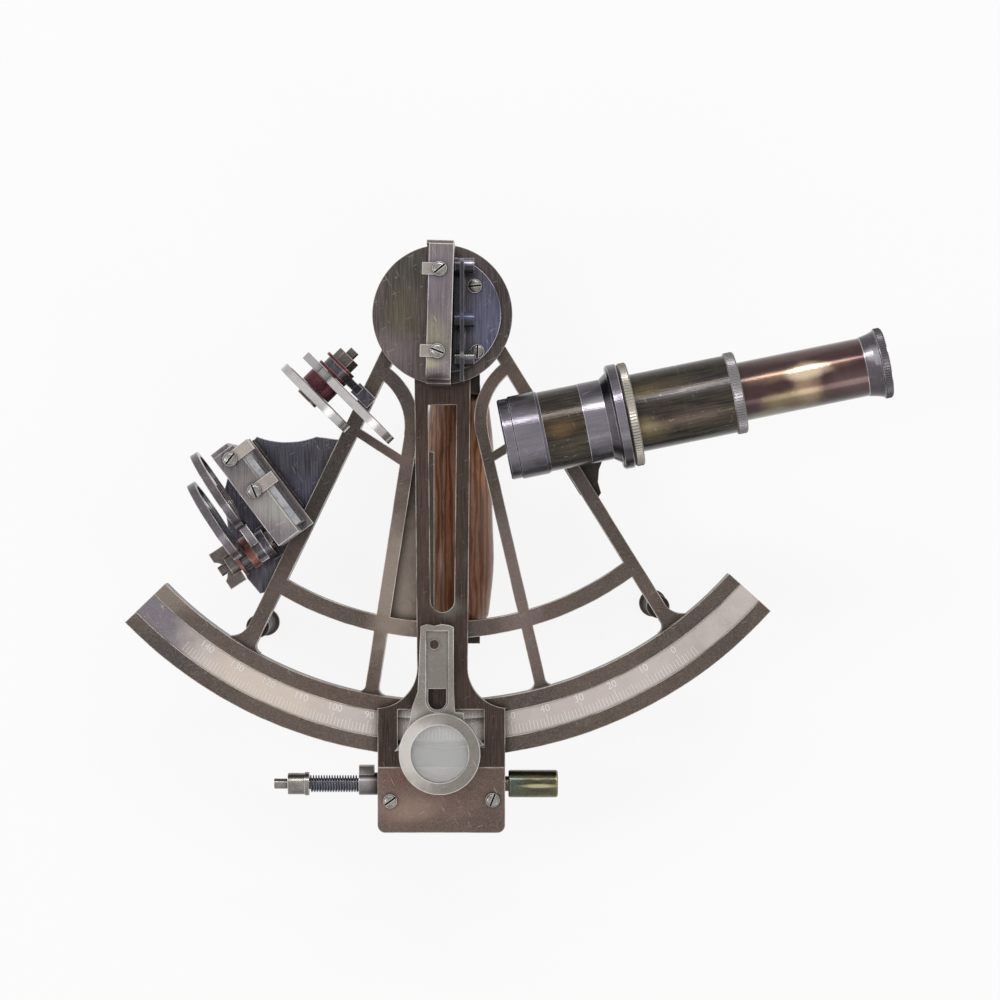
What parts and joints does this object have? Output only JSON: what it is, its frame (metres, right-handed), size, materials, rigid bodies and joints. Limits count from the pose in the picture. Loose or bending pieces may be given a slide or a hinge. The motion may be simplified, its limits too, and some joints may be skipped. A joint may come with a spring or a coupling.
{
  "type": "vernier sextant",
  "caption": "Vernier sextant with a divided arc, swinging index arm, two mirrors, coloured shades, magnifier and focusing telescope, lying face up on its feet.",
  "frame": {"origin": "where the index arm's pivot axis meets the table, at the pivot foot's base", "axes": "+Z out of the face, +X to the eyepiece side, -Y from the pivot to the middle of the divided arc"},
  "size_m": [0.2966, 0.2286, 0.1147],
  "materials": {
    "frame_bronze": "oxidised bronze, edges worn bright",
    "dark_bronze": "dark oxidised bronze, satin",
    "blue_black": "blue-black lacquer, satin",
    "bright_steel": "bright steel, lightly worn",
    "mirror_frame_steel": "grey steel with a brown cast",
    "silvered": "matt silvered brass",
    "shade_rim_silver": "polished silver-grey metal",
    "scope_silver": "brushed silver-grey metal",
    "old_brass": "mottled olive brass, lacquered",
    "knob_brass": "green-brown aged brass",
    "red_brown_lacquer": "red-brown lacquer over metal, brushed",
    "maroon_lacquer": "dark red lacquer, glossy",
    "eyepiece_steel": "dark grey steel, knurled edge",
    "copper_red": "copper-red washers",
    "spring_steel": "blue-grey spring steel",
    "wood_grip": "oiled red-brown hardwood",
    "mirror_glass": "silvered glass",
    "clear_glass": "clear polished glass",
    "red_glass": "dark red filter glass",
    "blue_glass": "dark blue-grey filter glass"
  },
  "bodies": {
    "frame": {"limb_frame": "frame_bronze", "scale_strip": "silvered", "pivot_bush": "old_brass", "pivot_foot": "dark_bronze", "left_foot": "dark_bronze", "right_foot": "dark_bronze", "handle_grip": "wood_grip", "handle_upper_bracket": "dark_bronze", "handle_lower_bracket": "dark_bronze", "handle_plate": "frame_bronze", "handle_screws": "bright_steel", "horizon_bracket": "blue_black", "horizon_mirror_base": "dark_bronze", "horizon_mirror_frame": "mirror_frame_steel", "horizon_mirror_glass": "mirror_glass", "horizon_clips": "silvered", "horizon_clip_screws": "bright_steel", "frame_screws": "bright_steel", "index_shade_bracket": "blue_black", "index_shade_nut": "old_brass", "index_shade_washers": "copper_red", "horizon_shade_bracket": "blue_black", "horizon_shade_nut": "old_brass", "horizon_shade_washers": "copper_red", "telescope_bracket": "dark_bronze"},
    "index_arm": {"index_arm": "frame_bronze", "arm_disc": "dark_bronze", "pivot_journal": "bright_steel", "index_mirror_base": "blue_black", "index_mirror_frame": "mirror_frame_steel", "index_mirror_glass": "mirror_glass", "index_clips": "silvered", "arm_screws": "bright_steel", "vernier_plate": "silvered", "tangent_cover": "red_brown_lacquer"},
    "tangent_screw": {"tangent_screw": "bright_steel", "tangent_knob": "knob_brass", "tangent_spring": "spring_steel"},
    "clamp_carriage": {"clamp_carriage": "dark_bronze"},
    "clamp_screw": {"clamp_screw": "old_brass"},
    "magnifier": {"magnifier_arm": "mirror_frame_steel", "magnifier_lens": "clear_glass"},
    "index_shade_near": {"index_shade_near": "shade_rim_silver", "index_glass_near": "red_glass"},
    "index_shade_far": {"index_shade_far": "shade_rim_silver", "index_glass_far": "blue_glass"},
    "horizon_shade_near": {"horizon_shade_near": "shade_rim_silver", "horizon_glass_near": "red_glass"},
    "horizon_shade_far": {"horizon_shade_far": "old_brass", "horizon_glass_far": "blue_glass"},
    "telescope": {"telescope_collar": "scope_silver", "collar_ring": "old_brass", "objective_hood": "scope_silver", "objective_lens": "clear_glass", "telescope_tube": "old_brass", "tube_ring": "scope_silver"},
    "draw_tube": {"draw_tube": "maroon_lacquer", "eyepiece_cup": "eyepiece_steel", "eye_lens": "clear_glass"},
    "rise_knob": {"rise_knob": "old_brass"}
  },
  "joints": [
    {"name": "index_arm_swing", "type": "hinge", "parent": "frame", "child": "index_arm", "pos_m": [0, 0, 0.0614], "axis": [0, 0, 1], "range_deg": [-27, 36]},
    {"name": "tangent_screw_turn", "type": "hinge", "parent": "index_arm", "child": "tangent_screw", "pos_m": [0, -0.1831, 0.056], "axis": [1, 0, 0], "range_deg": [-1080, 1080]},
    {"name": "clamp_carriage_travel", "type": "hinge", "parent": "index_arm", "child": "clamp_carriage", "pos_m": [0, 0, 0.056], "axis": [0, 0, 1], "range_deg": [-0.95, 0.95]},
    {"name": "clamp_screw_turn", "type": "hinge", "parent": "clamp_carriage", "child": "clamp_screw", "pos_m": [0, -0.162, 0.04], "axis": [0, 0, 1], "range_deg": [0, 270]},
    {"name": "magnifier_swing", "type": "hinge", "parent": "index_arm", "child": "magnifier", "pos_m": [-0.003, -0.1278, 0.073], "axis": [0, 0, 1], "range_deg": [-25, 25]},
    {"name": "index_shade_near_swing", "type": "hinge", "parent": "frame", "child": "index_shade_near", "pos_m": [-0.0411, -0.0222, 0.078], "axis": [-0.7071, -0.7071, 0], "range_deg": [-8, 150]},
    {"name": "index_shade_far_swing", "type": "hinge", "parent": "frame", "child": "index_shade_far", "pos_m": [-0.0411, -0.0222, 0.078], "axis": [-0.7071, -0.7071, 0], "range_deg": [-60, 95]},
    {"name": "horizon_shade_near_swing", "type": "hinge", "parent": "frame", "child": "horizon_shade_near", "pos_m": [-0.0741, -0.0922, 0.072], "axis": [0.8387, 0.5446, 0], "range_deg": [-35, 100]},
    {"name": "horizon_shade_far_swing", "type": "hinge", "parent": "frame", "child": "horizon_shade_far", "pos_m": [-0.0741, -0.0922, 0.072], "axis": [0.8387, 0.5446, 0], "range_deg": [-60, 70]},
    {"name": "telescope_rise", "type": "slide", "parent": "frame", "child": "telescope", "axis": [0, 0, 1], "range_m": [-0.003, 0.005]},
    {"name": "rise_knob_turn", "type": "hinge", "parent": "frame", "child": "rise_knob", "pos_m": [0.0681, -0.0401, 0.022], "axis": [0, 0, 1], "range_deg": [-1200, 2000]},
    {"name": "telescope_focus", "type": "slide", "parent": "telescope", "child": "draw_tube", "axis": [0.9799, 0.1994, 0], "range_m": [-0.035, 0.006]}
  ],
  "couplings": [
    {"joint": "clamp_carriage_travel", "follows": "tangent_screw_turn", "ratio": 0.00086922},
    {"joint": "rise_knob_turn", "follows": "telescope_rise", "rad_per_m": 6283.2}
  ]
}
